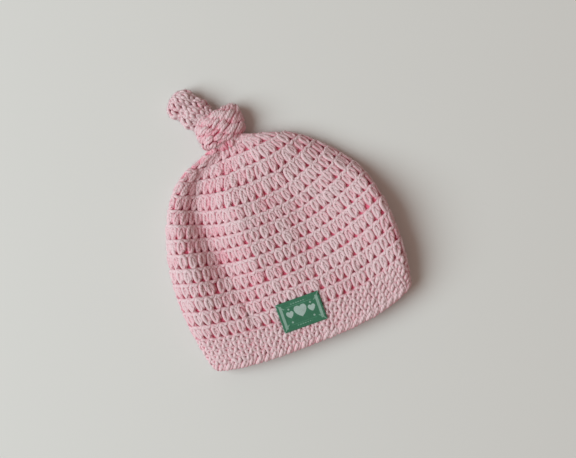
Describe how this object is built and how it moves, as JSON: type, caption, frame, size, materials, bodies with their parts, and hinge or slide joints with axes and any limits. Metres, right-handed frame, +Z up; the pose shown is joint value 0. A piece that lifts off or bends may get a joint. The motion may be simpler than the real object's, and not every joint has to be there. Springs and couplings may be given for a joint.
{
  "type": "crocheted baby beanie with a knotted tail",
  "caption": "Soft crocheted baby beanie lying flat, with a close-worked brim, a small woven side label and a tube at the crown tied in an overhand knot.",
  "frame": {"origin": "under the middle of the whole hat as it lies, at the height of the surface that it rests on", "axes": "+Z up from the resting surface through both layers, +Y from the brim towards the knotted tail, +X across the brim to the right seen from above"},
  "size_m": [0.1612, 0.1996, 0.022],
  "materials": {
    "wool_yarn": "soft pink wool yarn, crocheted",
    "label_cloth": "close woven green ribbon with pale green borders",
    "sewing_thread": "fine green polyester thread"
  },
  "bodies": {
    "back_and_crown": {"back_brim_band": "wool_yarn", "back_body_panel": "wool_yarn", "crown_cap": "wool_yarn", "woven_in_yarn_end": "wool_yarn"},
    "front_layer": {"front_brim_band": "wool_yarn", "front_body_panel": "wool_yarn", "woven_label": "label_cloth", "label_sewing_left": "sewing_thread", "label_sewing_right": "sewing_thread"},
    "neck": {"tail_neck": "wool_yarn"},
    "knot": {"tail_knot": "wool_yarn"},
    "tail_base": {"tail_root": "wool_yarn"},
    "tail_tip": {"tail_end": "wool_yarn"}
  },
  "joints": [
    {"name": "mouth_open", "type": "hinge", "parent": "back_and_crown", "child": "front_layer", "pos_m": [0, 0.0232, 0.018], "axis": [-1, 0, 0], "range_deg": [0, 10]},
    {"name": "neck_swing", "type": "hinge", "parent": "back_and_crown", "child": "neck", "pos_m": [-0.0072, 0.05509, 0.0105], "axis": [0, 0, 1], "range_deg": [-20, 20]},
    {"name": "knot_lift", "type": "hinge", "parent": "neck", "child": "knot", "pos_m": [-0.0072, 0.05509, 0.0105], "axis": [1, 0, 0], "range_deg": [0, 45]},
    {"name": "tail_swing", "type": "hinge", "parent": "knot", "child": "tail_base", "pos_m": [-0.0196, 0.07638, 0.0086], "axis": [0, 0, 1], "range_deg": [-20, 20]},
    {"name": "tail_lift", "type": "hinge", "parent": "tail_base", "child": "tail_tip", "pos_m": [-0.0196, 0.07638, 0.0086], "axis": [0.887, 0.4618, 0], "range_deg": [0, 60]}
  ]
}
